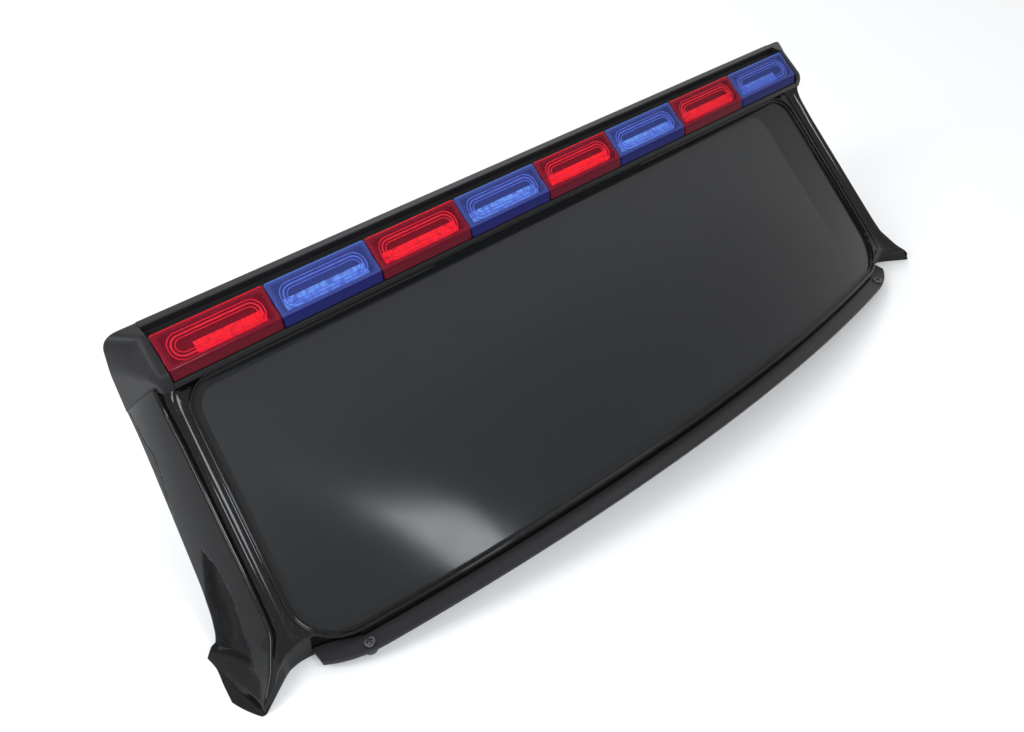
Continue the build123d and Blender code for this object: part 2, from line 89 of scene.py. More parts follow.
class Tree:
    """The node tree of a material or a world, whose sockets take constants or signals."""

    def __init__(self, owner):
        owner.use_nodes = True
        self.nodes, self.links = owner.node_tree.nodes, owner.node_tree.links

    def feed(self, socket, value):
        if isinstance(value, Signal):
            self.links.new(value.socket, socket)
        else:
            socket.default_value = value

    def node(self, kind, settings, sockets, out=0):
        """Any node: its type, its settings, and the values or signals of its sockets by name or place."""
        made = self.nodes.new("ShaderNode" + kind)
        for key, value in settings.items():
            setattr(made, key, value)
        for key, value in sockets.items():
            self.feed(made.inputs[key], value)
        return Signal(self, made.outputs[out])


class Finish(Tree):
    """A material round one Principled shader."""

    def __init__(self, name, **constants):
        self.material = bpy.data.materials.new(name)
        super().__init__(self.material)
        self.set(**constants)

    def set(self, **values):
        """Feed the shader's sockets, named with _ for a space, and give back the material."""
        for socket, value in values.items():
            self.feed(self.nodes["Principled BSDF"].inputs[socket.replace("_", " ")], value)
        return self.material

    def place(self):
        return self.node("TexCoord", {}, {}, "Object")

    def along(self, axis):
        """Millimetres along an axis of the part."""
        return 1000 * self.node("SeparateXYZ", {}, {0: self.place()}, axis)

    def noise(self, scale, detail=2.0):
        return self.node("TexNoise", {}, {"Vector": self.place(), "Scale": scale, "Detail": detail})

    def rise(self, value, low, high):
        """Zero up to low and one from high, smooth between them."""
        return self.node("MapRange", {"interpolation_type": "SMOOTHSTEP"}, {0: value, 1: low, 2: high})

    def mix(self, mask, first, second):
        """The first colour where the mask is 0 and the second where it is 1."""
        return self.node("Mix", {"data_type": "RGBA"}, {0: mask, 6: first, 7: second}, 2)

    def bump(self, height, depth, strength):
        return self.node("Bump", {}, {"Strength": strength, "Distance": depth, "Height": height})


world = bpy.data.worlds.new("studio")
scene.world = world
sky = Tree(world)
seen = sky.node("LightPath", {}, {}, "Is Camera Ray")
for kind in ("Is Glossy Ray", "Is Transmission Ray"):
    seen = sky.node("Math", {"operation": "MAXIMUM"}, {0: seen, 1: sky.node("LightPath", {}, {}, kind)})
level = sky.node("MapRange", {}, {"Value": seen, "To Min": 0.75, "To Max": 1.0})
background = sky.nodes["Background"]
sky.feed(background.inputs["Color"], (1.0, 1.0, 1.0, 1.0))
sky.feed(background.inputs["Strength"], level)

FLOOR_HALF, FLOOR_GAP = 6.0, 0.0005
floor_z = cad_box[0][2] - FLOOR_GAP
floor_mesh = bpy.data.meshes.new("floor")
floor_mesh.from_pydata([(FLOOR_HALF * along, FLOOR_HALF * across, floor_z)
                        for along, across in ((-1, -1), (1, -1), (1, 1), (-1, 1))], [], [(0, 1, 2, 3)])
floor_mesh.materials.append(Finish("floor_paint", Base_Color=(0.93, 0.93, 0.93, 1), Roughness=0.9).material)
floor = bpy.data.objects.new("floor", floor_mesh)
scene.collection.objects.link(floor)


def softbox(name, place, aim, width, height, power):
    """Rectangular lamp of a cool white at a place, turned to the point it aims at."""
    lamp = bpy.data.lights.new(name, "AREA")
    lamp.color = (0.90, 0.95, 1.0)
    lamp.shape = "RECTANGLE"
    lamp.size = width
    lamp.size_y = height
    lamp.energy = power
    holder = bpy.data.objects.new(name, lamp)
    holder.location = place
    holder.rotation_euler = (Vector(aim) - Vector(place)).to_track_quat("-Z", "Y").to_euler()
    scene.collection.objects.link(holder)


# The points that the lamps aim at, in metres.
PANE_MIDDLE = (0, 0.05, 0.05)
PANE_NEAR_END = (-0.18, 0.0, 0.02)
softbox("key_box", (-1.2, -0.95, 1.35), PANE_MIDDLE, width=0.45, height=0.45, power=10)
softbox("near_box", (-0.176, -0.355, 0.494), PANE_NEAR_END, width=0.11, height=0.11, power=0.7)
softbox("side_box", (-1.3, 0.3, 1.1), PANE_MIDDLE, width=0.5, height=0.8, power=9)
softbox("back_box", (0.7, 1.3, 1.3), PANE_MIDDLE, width=0.8, height=0.6, power=6)

# Gloss frame. One black plastic moulding holds the pane: a hollow pillar and foot at each side, a
# beaded lip round the opening, a thin header under the light bar and the wall of the lower rail.
# It comes from a polished mould, so it is smooth, with a little waviness and a few specks of dust.

# Sizes are millimetres. The slope is the flat plane that the pane is bowed over: u runs along the
# bar, v up the slope and n out of it. OPEN_TOP, OPEN_LOW and OPEN_MID are the heights v of the
# opening's upper edge, of its lower corners and of the middle of its lower edge.
MM = 0.001
RAKE = np.radians(41.8)
PANE_FACE = -11.9
OPEN_TOP, OPEN_LOW, OPEN_MID = 175.5, 12.8, 5.2
OPEN_TOP_HALF, OPEN_LOW_HALF = 273.5, 285.0
OPEN_TOP_R, OPEN_LOW_R = 18.0, 28.0
BOW_TOP, BOW_LOW = 4.0, 43.0
SEAM_V = 181.8
FRAME_BACK = -30.0


def points(x, y, z):
    """Points in metres from millimetres; x, y and z spread over each other's rows and columns."""
    return MM * np.stack(np.broadcast_arrays(x, y, z), axis=-1)


def on_slope(u, v, n):
    """Points from places on the slope: the level plane turned by the rake about the bar's
    direction, and moved out to the pane's face."""
    out = n + PANE_FACE
    return points(u, v * np.cos(RAKE) - out * np.sin(RAKE), v * np.sin(RAKE) + out * np.cos(RAKE))


def bow(u, v):
    """Rise of the pane over the slope: a parabola across, its height growing evenly downwards."""
    height = BOW_TOP + (BOW_LOW - BOW_TOP) * (OPEN_TOP - v) / (OPEN_TOP - OPEN_MID)
    return height * (1 - (u / OPEN_LOW_HALF) ** 2)


def opening_half(v):
    """Half the opening's width, which grows evenly downwards."""
    return OPEN_TOP_HALF + (OPEN_LOW_HALF - OPEN_TOP_HALF) * (OPEN_TOP - v) / (OPEN_TOP - OPEN_LOW)


def unit(vectors):
    """The same directions at length 1."""
    return vectors / np.linalg.norm(vectors, axis=-1, keepdims=True)


def opening_outline():
    """The opening's outline once round as (u, v), starting at the middle of its bowed lower edge and
    going right, with its outward directions. Runs and corner arcs follow each other tangentially."""
    fall = OPEN_LOW - OPEN_MID
    low = unit(np.array([1.0, 2 * fall / OPEN_LOW_HALF]))
    side = unit(np.array([OPEN_TOP_HALF - OPEN_LOW_HALF, OPEN_TOP - OPEN_LOW]))
    top = np.array([-1.0, 0.0])

    def arc(corner, before, after, radius):
        """A corner's arc: its centre lies radius / cos(half the turn) from the corner, inwards."""
        centre = np.array(corner) + unit(after - before) * radius / np.cos(np.arccos(before @ after) / 2)
        turn = np.linspace(np.arctan2(-before[0], before[1]), np.arctan2(-after[0], after[1]), 30)
        return centre + radius * np.stack([np.cos(turn), np.sin(turn)], axis=-1)

    low_arc = arc((OPEN_LOW_HALF, OPEN_LOW), low, side, OPEN_LOW_R)
    top_arc = arc((OPEN_TOP_HALF, OPEN_TOP), side, top, OPEN_TOP_R)
    u = np.linspace(0, low_arc[0, 0], 70)[:-1]
    bottom = np.stack([u, OPEN_MID + fall * (u / OPEN_LOW_HALF) ** 2], axis=-1)
    run = low_arc[-1] + (top_arc[0] - low_arc[-1]) * np.linspace(0, 1, 45)[1:-1, None]
    head = np.stack([np.linspace(top_arc[-1, 0], 0, 70)[1:], np.full(69, OPEN_TOP)], axis=-1)
    half = np.concatenate([bottom, low_arc, run, top_arc, head])
    places = np.concatenate([half, half[-2:0:-1] * [-1, 1]])
    along = unit(np.roll(places, -1, axis=0) - np.roll(places, 1, axis=0))
    return places, np.stack([along[:, 1], -along[:, 0]], axis=-1)


EDGE, OUTWARD = opening_outline()


def round_opening(section):
    """A closed section, given as distance outside the opening and height over the pane, carried
    round the opening's outline."""
    outside, height = np.asarray(section, float).T
    places = EDGE[:, None] + OUTWARD[:, None] * outside[:, None]
    places = np.concatenate([places, places[:1]])
    u, v = places[..., 0], places[..., 1]
    return on_slope(u, v, bow(u, v) + height)


def volume(corners, faces):
    """Six times the volume inside a set of faces: the sum of each corner fan's triple products."""
    total = 0.0
    for face in faces:
        fan = corners[face]
        total += np.sum(fan[..., :1, :] * np.cross(fan[..., 1:-1, :], fan[..., 2:, :]))
    return total


def skin(name, grids, finish, node, ends=True, crease=38.0):
    """Closed shells from grids (rows along, columns round): one face to a cell, ends filled, doubles
    merged, and the faces turned over where the volume inside them comes out negative. The piece
    rides on the part and stands for its CAD node."""
    corners, faces, base = [], [], 0
    for grid in grids:
        rows, columns = grid.shape[:2]
        index = np.arange(rows * columns).reshape(rows, columns)
        ring = np.concatenate([index, index[:, :1]], axis=1)
        cells = np.stack([ring[:-1, :-1], ring[:-1, 1:], ring[1:, 1:], ring[1:, :-1]], axis=-1)
        quads = cells.reshape(-1, 4)
        caps = [index[0, ::-1], index[-1]] if ends else []
        flat = grid.reshape(-1, 3)
        flip = -1 if volume(flat - flat.mean(axis=0), [quads] + caps) < 0 else 1
        corners.append(flat)
        faces += (quads[:, ::flip] + base).tolist() + [(cap[::flip] + base).tolist() for cap in caps]
        base += rows * columns
    mesh = bpy.data.meshes.new(name)
    mesh.from_pydata(np.concatenate(corners), [], faces)
    shape = bmesh.new()
    shape.from_mesh(mesh)
    bmesh.ops.remove_doubles(shape, verts=shape.verts, dist=2e-6)
    bmesh.ops.dissolve_degenerate(shape, dist=1e-7, edges=shape.edges)
    shape.to_mesh(mesh)
    shape.free()
    mesh.shade_smooth()
    mesh.set_sharp_from_angle(angle=np.radians(crease))
    mesh.materials.append(finish)
    piece = bpy.data.objects.new(name, mesh)
    scene.collection.objects.link(piece)
    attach(piece, "root")
    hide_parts(node)


# Each pillar has a three-cornered recess in its outer side. Its front edge is given as v and n, its
# lower edge by the corner that it starts from and the direction square to it, and its rear edge by
# where that line leaves the frame's back and how far it climbs for each millimetre forwards.
RECESS_FRONT = ((0, -22), (14, -14), (21.6, -11.4), (41.4, -11.4), (63.1, -7.8), (77.2, -9.9),
                (93.4, -14.9), (115, -23))
LOW_V, LOW_N, LOW_LEAN_V, LOW_LEAN_N = 21.6, -11.4, 0.81167, 0.58621
REAR_V, REAR_CLIMB = 66.0, 1.8146
RECESS_DEPTH, RECESS_EDGE = 2.8, 0.9
REAR_FADE, CORNER_FADE, CORNER_START = 7.0, 14.0, 1.0
# The finish's painted shade follows the recess by straight lines: less coat inside it makes the recess read
# darker. Here the front edge at v, its n and its fall.
MASK_V, MASK_N, MASK_FALL, MASK_INNER_X = 40.0, -9.6, 0.09, 293.0
MASK_SIDE_FADE, MASK_EDGE_FADE, MASK_REAR_FADE = 1.5, 1.2, 3.0

black = Finish("gloss_black", Coat_Roughness=0.06, Specular_IOR_Level=0.06)
rake_cos, rake_sin = float(np.cos(RAKE)), float(np.sin(RAKE))
up_slope = rake_cos * black.along(1) + rake_sin * black.along(2)
out_slope = -PANE_FACE - rake_sin * black.along(1) + rake_cos * black.along(2)
off_middle = black.node("Math", {"operation": "ABSOLUTE"}, {0: black.along(0)})
beside = black.rise(off_middle, MASK_INNER_X, MASK_INNER_X + MASK_SIDE_FADE)
behind_front = black.rise(MASK_N - MASK_FALL * (up_slope - MASK_V) - out_slope, 0.0, MASK_EDGE_FADE)
past_low = LOW_LEAN_V * (up_slope - LOW_V) + LOW_LEAN_N * (out_slope - LOW_N)
over_low = black.rise(past_low, 0.0, MASK_EDGE_FADE)
before_rear = black.rise(REAR_V + REAR_CLIMB * (out_slope - FRAME_BACK) - up_slope, 0.0, MASK_REAR_FADE)
dust = black.rise(black.noise(2600.0, 0.0), 0.80, 0.84)
GLOSS = black.set(
    Base_Color=black.mix(dust, (0.0035, 0.0036, 0.004, 1), (0.16, 0.16, 0.17, 1)),
    Roughness=0.12 + 0.10 * black.noise(45.0, 3.0) + 0.4 * dust,
    # Painted shade: the coat is thinned inside the side recess so that it reads darker.
    Coat_Weight=0.34 - 0.26 * (behind_front * beside * over_low * before_rear),
    Normal=black.bump(black.noise(90.0, 1.0) + 0.15 * black.noise(900.0, 1.0), 0.00012, 0.5))

# The lip's section, as distance outside the opening and height over the pane.
LIP = ((0, 0.3), (0, 0.85), (0.15, 1.0), (1.25, 1.0), (1.42, 1.12), (1.5, 1.4), (1.56, 2.6), (1.72, 3.05),
       (2.05, 3.27), (2.6, 3.34), (3.15, 3.27), (3.47, 3.03), (3.6, 2.6), (3.6, -2.5), (3.0, -2.5),
       (3.0, 0.3))
skin("window_lip", [round_opening(LIP)], GLOSS, "windscreen_frame", ends=False, crease=50)

# A pillar's crease and rear corner, one row to a height: v, how far outside the opening's edge the
# crease lies and its n, and the same for the rear corner. Between its root, beside the lip, and the
# crease runs a hollow channel. The fills are how many places lie along each run of the section.
PILLAR = (
    (-20.0, 35.6, -17.0, 46.0, -44.0),
    (3.9, 35.0, 3.6, 45.5, -44.0),
    (14.4, 26.5, 4.0, 45.0, -44.0),
    (33.0, 17.0, 4.8, 44.5, -38.0),
    (45.0, 16.2, 4.9, 38.9, -33.0),
    (56.0, 16.0, 5.0, 36.9, -30.0),
    (72.0, 15.9, 5.0, 35.0, -30.0),
    (100.0, 15.9, 5.0, 33.3, -30.0),
    (146.0, 15.7, 5.0, 30.7, -30.0),
    (166.0, 16.3, 5.2, 29.8, -30.0),
    (175.0, 16.8, 6.8, 29.6, -30.0),
    (182.0, 17.3, 13.0, 29.5, -30.0),
)
ROOT_OUT, ROOT_N, INNER_OUT = 3.6, 2.2, 1.8
CHANNEL_SAG, SIDE_SWELL = 2.4, 0.8
BEND, CHANNEL_FILL, SIDE_FILL, BACK_FILL = 6, 18, 46, 16
CHANNEL_ON_SIDE = 10


def sections(like, corners):
    """Corners as (row, corner, 2), a row for each value of like, from pairs that may vary by row."""
    blank = np.zeros(len(like))
    spread = [np.stack([first + blank, second + blank], axis=-1) for first, second in corners]
    return np.stack(spread, axis=1)


def rounded(corners, reaches, fills, bulges=None, bend=BEND):
    """Closed sections from corners (rows, corner, 2). Each corner becomes the parabola whose ends lie
    its reach away on the two sides, and each side a run of fill points, swollen by bulge 4t(1 - t)."""
    count = corners.shape[1]
    bulges = bulges or [0] * count
    reach = np.asarray(reaches, float)[..., None]
    start = corners + unit(np.roll(corners, 1, axis=1) - corners) * reach
    end = corners + unit(np.roll(corners, -1, axis=1) - corners) * reach
    t = np.linspace(0, 1, bend)[:, None]
    parts = []
    for i in range(count):
        first, middle, last = start[:, None, i], corners[:, None, i], end[:, None, i]
        parts.append((1 - t) ** 2 * first + 2 * t * (1 - t) * middle + t ** 2 * last)
        run = start[:, None, (i + 1) % count] - last
        s = (np.arange(1, fills[i] + 1) / (fills[i] + 1))[:, None]
        across = unit(np.stack([-run[..., 1], run[..., 0]], axis=-1))
        parts.append(last + run * s + across * bulges[i] * 4 * s * (1 - s))
    return np.concatenate(parts, axis=1)


def eased(at, table, column, reach):
    """A column of a table read at the first column's values, averaged over a window of plus and
    minus reach, which rounds the corners of the straight runs between its rows."""
    table = np.asarray(table, float)
    window = np.linspace(-reach, reach, 13)
    return np.interp(np.asarray(at)[..., None] + window, table[:, 0], table[:, column]).mean(axis=-1)


def soft_max(a, b, blend):
    """The larger of a and b with the corner rounded: half of a + b + root((a - b)^2 + blend^2)."""
    return (a + b + np.sqrt((a - b) ** 2 + blend ** 2)) / 2


def step_up(t):
    """Zero below 0, one above 1 and 3t^2 - 2t^3 between them."""
    t = np.clip(t, 0, 1)
    return t * t * (3 - 2 * t)


def inward(section):
    """Directions square to closed sections, into them."""
    along = unit(np.roll(section, -1, axis=1) - np.roll(section, 1, axis=1))
    return np.stack([along[..., 1], -along[..., 0]], axis=-1)


def pillar_rows():
    """Sections of the right pillar and foot from the seam down, as v, places in (u, n) and each
    place's way along the section from the rear corner, positive up the side. The inner wall keeps
    INNER_OUT outside the opening's side and the corners that it ends in."""
    v = np.concatenate([[SEAM_V], np.arange(180, 60, -2.0), np.arange(60, -14, -0.6)])
    edge = opening_half(v)
    turning = (EDGE[:, 0] > 250) & (OUTWARD[:, 0] > 0.03)
    grown = (EDGE + INNER_OUT * OUTWARD)[turning]
    inner = np.interp(v, grown[:, 1], grown[:, 0])
    crease_out, crease_n, rear_out, rear_n = (eased(v, PILLAR, column, 3.0) for column in range(1, 5))
    corners = sections(v, ((inner, FRAME_BACK), (inner, ROOT_N + bow(inner, v)), (edge + ROOT_OUT, ROOT_N),
                           (edge + crease_out, crease_n), (edge + rear_out, rear_n)))
    section = rounded(corners, reaches=(0.4, 0.3, 1.2, 1.7, 2.6),
                      fills=(8, 8, CHANNEL_FILL, SIDE_FILL, BACK_FILL),
                      bulges=(0, 0, -CHANNEL_SAG, SIDE_SWELL, 0))
    steps = np.linalg.norm(np.diff(section, axis=1, prepend=section[:, :1]), axis=-1)
    way = np.cumsum(steps, axis=1)
    rear = section.shape[1] - BACK_FILL - BEND // 2
    return v, section, way[:, rear:rear + 1] - way


pillar_v, pillar_section, pillar_way = pillar_rows()
# Shares of a section's places: one on the side and on the channel's last places, and on the back a
# fade from one at the rear corner to nothing at the inner wall.
on_side = np.zeros(pillar_section.shape[1])
on_side[-(BACK_FILL + 2 * BEND + SIDE_FILL + CHANNEL_ON_SIDE):-BACK_FILL] = 1
on_back = np.zeros_like(on_side)
on_back[-BACK_FILL:] = 1 - np.arange(1, BACK_FILL + 1) / (BACK_FILL + 1)

# The back of each pillar is let in by COVER_SEAT for its cover, as far up the side from the rear
# corner as this table says by v. Below zero the cover ends on the back.
COVER_REACH = ((40, -2.5), (104, -2.5), (112, 0.0), (130, 5.1), (142, 8.3), (152, 9.3), (157, 7.6),
               (164, 5.6), (182, 4.6))
COVER_SEAT, COVER_EDGE, COVER_LOW_V, COVER_LOW_EDGE = 1.5, 0.25, 50.0, 0.6
cover_reach = eased(pillar_v, COVER_REACH, 1, 2.0)[:, None]
over_low_end = step_up((pillar_v[:, None] - COVER_LOW_V + 1) / COVER_LOW_EDGE)
under_cover = step_up((cover_reach - pillar_way) / COVER_EDGE) * over_low_end * (on_side + (on_back > 0))
pillar_places = pillar_section + inward(pillar_section) * (COVER_SEAT * under_cover)[..., None]

side_v = np.broadcast_to(pillar_v[:, None], pillar_way.shape)
side_n = pillar_places[..., 1]
behind_line = (REAR_V + REAR_CLIMB * (side_n - FRAME_BACK) - side_v) / np.hypot(1, REAR_CLIMB)
below_front = eased(side_v, RECESS_FRONT, 1, 1.2) - side_n
above_low = LOW_LEAN_V * (side_v - LOW_V) + LOW_LEAN_N * (side_n - LOW_N)
from_corner = step_up((pillar_way - CORNER_START) / CORNER_FADE)
sunk = (RECESS_DEPTH * on_side * from_corner * step_up(behind_line / REAR_FADE)
        * step_up(below_front / RECESS_EDGE + 0.5) * step_up(above_low / RECESS_EDGE + 0.5))

# Plan of the foot's front wall, as x and y, and the skirt along the foot's outside: y, then how far
# outside the opening's low corner its base, edge and shelf lie, with the heights of edge and shelf.
NOTCH = ((250, 4.0), (257, 6.4), (265, 11.8), (273, 17.0), (281, 20.5), (290, 21.8), (298, 21.2),
         (306.5, 16.5), (312.6, 10.2), (317.8, 7.1), (321.3, 6.8), (335, 6.8))
SKIRT = np.array((
    (5.0, 36.0, 34.6, -4.4, 31.0, -2.8),
    (28.0, 41.0, 37.8, -8.0, 29.5, -3.0),
    (45.0, 42.9, 40.0, -8.8, 32.5, -4.5),
    (61.0, 45.3, 43.0, -9.7, 40.0, -7.0),
))
FOOT_Z, NOTCH_GAP, SHELF_FALL = -12.0, 0.5, 6.0
SKIRT_BLEND, NOTCH_BLEND, PAD_BLEND = 1.0, 0.7, 0.5
foot = on_slope(pillar_places[..., 0] - sunk, side_v, side_n) / MM
foot_x, foot_y, foot_z = np.moveaxis(foot, -1, 0)
base, edge_out, edge_z, shelf, shelf_z = (np.interp(foot_y, SKIRT[:, 0], column) for column in SKIRT.T[1:])
low_part = base + (edge_out - base) * (np.maximum(foot_z, FOOT_Z) - FOOT_Z) / (edge_z - FOOT_Z)
high_part = edge_out + (shelf - edge_out) * (foot_z - edge_z) / (shelf_z - edge_z)
flare = OPEN_LOW_HALF + np.where(foot_z < edge_z, low_part, high_part)
flare = np.where(foot_z > shelf_z, flare - SHELF_FALL * (foot_z - shelf_z), flare)
foot_x = foot_x + (on_side + on_back) * (soft_max(foot_x, flare, SKIRT_BLEND) - foot_x)
foot_y = soft_max(foot_y, eased(foot_x, NOTCH, 1, 2.0) + NOTCH_GAP, NOTCH_BLEND)
foot_z = soft_max(foot_z, FOOT_Z, PAD_BLEND)
pillar_grid = points(foot_x, foot_y, foot_z)
OTHER_SIDE = np.array([-1, 1, 1])
skin("pillar_right", [pillar_grid], GLOSS, "windscreen_frame")
skin("pillar_left", [pillar_grid * OTHER_SIDE], GLOSS, "windscreen_frame")

HEADER_HALF, HEADER_LOW_V = 256.0, 177.0
header_u = np.linspace(-HEADER_HALF, HEADER_HALF, 90)
header_n = ROOT_N + bow(header_u, SEAM_V)
header_corners = ((HEADER_LOW_V, FRAME_BACK), (HEADER_LOW_V, header_n),
                  (SEAM_V, header_n), (SEAM_V, FRAME_BACK))
header_section = rounded(sections(header_u, header_corners), reaches=(0.5, 0.8, 0.8, 0.5),
                         fills=(6, 1, 6, 1))
skin("header", [on_slope(header_u[:, None], header_section[..., 0], header_section[..., 1])],
     GLOSS, "windscreen_frame")

# The lower rail is an arc in plan. Its share falls from one in the middle to none at the ends, and
# the rail's height and reach forwards go with it.
RAIL_RADIUS, RAIL_RISE, RAIL_Y, RAIL_Z = 942.9, 35.7, -28.1, 22.1
WALL_Y, WALL_TOP, WALL_LOW, WALL_T, WALL_HALF = 6.35, 4.56, -2.5, 2.6, 258.5


def rail_share(x):
    """One less the arc's fall, radius - root(radius^2 - x^2), over its whole rise."""
    return 1 - (RAIL_RADIUS - np.sqrt(RAIL_RADIUS ** 2 - x ** 2)) / RAIL_RISE


def along_rail(x, corners, reaches, fills):
    """Sections in (y, z) with corners that may vary along x, lifted by the rail's height."""
    section = rounded(sections(x, corners), reaches, fills)
    return points(x[:, None], section[..., 0], section[..., 1] + RAIL_Z * rail_share(x)[:, None])


wall_x = np.linspace(-WALL_HALF, WALL_HALF, 160)
wall_y = WALL_Y + RAIL_Y * rail_share(wall_x)
wall_corners = ((wall_y, WALL_LOW), (wall_y, WALL_TOP),
                (wall_y + WALL_T, WALL_TOP), (wall_y + WALL_T, WALL_LOW))
wall_grid = along_rail(wall_x, wall_corners, reaches=(0.3, 0.6, 0.3, 0.3), fills=(4, 1, 4, 1))
skin("rail_wall", [wall_grid], GLOSS, "windscreen_frame")

# Screw flange. A moulded strip of satin black plastic runs along the rail wall's foot and follows its
# arc. A boss under each end takes a pan-head machine screw of darkened zinc with a cross recess.
SCREW_X, FLANGE_HALF, FLANGE_FRONT, FLANGE_T, FLANGE_GAP = 257.0, 283.0, -5.6, 2.5, 0.3
# Past END_X the strip's front edge leaves the rail's arc and turns back along one of its own.
END_X, END_ARC_X, END_ARC_Y, END_ARC_R = 250.0, 234.2, 67.3, 76.0

satin = Finish("satin_black", Specular_IOR_Level=0.22)
SATIN = satin.set(
    Base_Color=satin.mix(satin.noise(30.0, 3.0), (0.010, 0.010, 0.011, 1), (0.014, 0.014, 0.015, 1)),
    Roughness=0.36 + 0.12 * satin.noise(60.0, 4.0),
    Normal=satin.bump(satin.noise(3500.0, 2.0), 0.00004, 0.6))
flange_x = np.concatenate([np.linspace(-FLANGE_HALF, -246, 50), np.linspace(-244, 244, 140),
                           np.linspace(246, FLANGE_HALF, 50)])
from_middle = np.abs(flange_x)
into_end = np.maximum(from_middle - END_ARC_X, 0)
flange_front = np.where(from_middle < END_X, FLANGE_FRONT + RAIL_Y * rail_share(flange_x),
                        END_ARC_Y - np.sqrt(END_ARC_R ** 2 - into_end ** 2))
flange_rear = np.where(from_middle < SCREW_X, WALL_Y + RAIL_Y * rail_share(flange_x),
                       eased(from_middle, NOTCH, 1, 2.0)) - FLANGE_GAP
flange_corners = ((flange_front, -FLANGE_T), (flange_front, 0), (flange_rear, 0), (flange_rear, -FLANGE_T))
flange_grid = along_rail(flange_x, flange_corners, reaches=(0.4, 0.9, 0.5, 0.4), fills=(2, 10, 2, 4))
skin("flange_strip", [flange_grid], SATIN, "screw_flange")


def spun(radius, height, count, centre_x, cut=None):
    """A profile turned about an upright axis at centre_x. A cut gives how deep each place, as x and y
    from the axis, lies under the profile."""
    turn = np.linspace(0, 2 * np.pi, count, endpoint=False)
    across, along = radius[:, None] * np.cos(turn), radius[:, None] * np.sin(turn)
    depth = cut(across, along) if cut else 0
    return points(across + centre_x, along, height[:, None] - depth)


BOSS = np.array(((0.02, -7), (3.6, -7), (4.2, -6.6), (4.4, -6), (4.4, -1.0), (4.4, -0.6), (0.02, -0.6)))
bosses = [spun(BOSS[:, 0], BOSS[:, 1], 64, side * SCREW_X) for side in (-1, 1)]
skin("screw_bosses", bosses, SATIN, "screw_flange")

zinc = Finish("screw_zinc", Metallic=0.9)
ZINC = zinc.set(
    Base_Color=zinc.mix(zinc.noise(700.0, 3.0), (0.05, 0.05, 0.052, 1), (0.11, 0.11, 0.115, 1)),
    Roughness=0.26 + 0.2 * zinc.noise(1200.0, 3.0))
CROWN_R, CROWN_ROWS, HEAD_TOP, CROWN_CURVE = 3.2, 40, 2.1, 0.05
RIM_OUT, RIM_TOP, RIM_DROP = 0.45, 1.59, 0.9
UNDERSIDE_R, UNDERSIDE_Z = [3.65, 3.4, 0.02], [-0.3, -0.5, -0.5]
SLOT_HALF, SLOT_REACH, SLOT_DEPTH, SLOT_EDGE = 0.42, 1.9, 1.2, 0.25
crown = np.linspace(0, CROWN_R, CROWN_ROWS)
rim_turn = np.linspace(0.2, np.pi / 2, 6)
crown_r = np.linspace(0.02, CROWN_R, CROWN_ROWS)
head_r = np.concatenate([crown_r, CROWN_R + RIM_OUT * np.sin(rim_turn), UNDERSIDE_R])
head_z = np.concatenate([HEAD_TOP - CROWN_CURVE * crown ** 2, RIM_TOP - RIM_DROP * (1 - np.cos(rim_turn)),
                         UNDERSIDE_Z])


def cross_recess(across, along):
    """Depth of the cross: two crossed slots, full depth inside them and eased over their edge."""
    first = np.maximum(np.abs(across) - SLOT_HALF, np.abs(along) - SLOT_REACH)
    second = np.maximum(np.abs(along) - SLOT_HALF, np.abs(across) - SLOT_REACH)
    on_crown = (np.arange(len(across)) < CROWN_ROWS)[:, None]
    return SLOT_DEPTH * step_up(0.5 - np.minimum(first, second) / SLOT_EDGE) * on_crown


heads = [spun(head_r, head_z, 120, side * SCREW_X, cross_recess) for side in (-1, 1)]
skin("screw_heads", heads, ZINC, "screw_flange", crease=50)

# Pane and its retainer. The pane is one bowed sheet of smoked acrylic that lies in the lip's groove;
# a black ring behind it presses it home.
PANE_OUT, PANE_T, PANE_MIDDLE_V = 2.7, 2.5, 92.0
smoke = Finish("smoked_pane", Alpha=0.87, IOR=1.49, Specular_IOR_Level=0.25)
PANE = smoke.set(
    Base_Color=smoke.mix(smoke.noise(6.0, 2.0), (0.0095, 0.0105, 0.012, 1), (0.0135, 0.0145, 0.016, 1)),
    Roughness=0.12 + 0.06 * smoke.noise(40.0, 3.0),
    Normal=smoke.bump(smoke.noise(12.0, 1.0), 0.0006, 0.06))
# The sheet is rings of the pane's edge drawn in to its middle, over the face and back underneath.
pane_share = np.concatenate([np.linspace(0.002, 0.9, 40), np.linspace(0.92, 1, 6)])
there_and_back = np.concatenate([pane_share, pane_share[::-1]])[:, None]
below_face = np.repeat([0.0, -PANE_T], len(pane_share))[:, None]
from_pane_middle = EDGE + PANE_OUT * OUTWARD - [0, PANE_MIDDLE_V]
pane_u, pane_v = np.moveaxis(from_pane_middle * there_and_back[..., None], -1, 0)
pane_v = pane_v + PANE_MIDDLE_V
pane_grid = on_slope(pane_u, pane_v, bow(pane_u, pane_v) + below_face)
skin("pane_sheet", [pane_grid], PANE, "pane", crease=60)
RETAINER = ((-4, -2.8), (-3.7, -2.6), (PANE_OUT, -2.6), (PANE_OUT, -6.8), (-3.6, -6.8), (-4, -6.4))
skin("retainer_ring", [round_opening(RETAINER)], SATIN, "pane_retainer", ends=False)

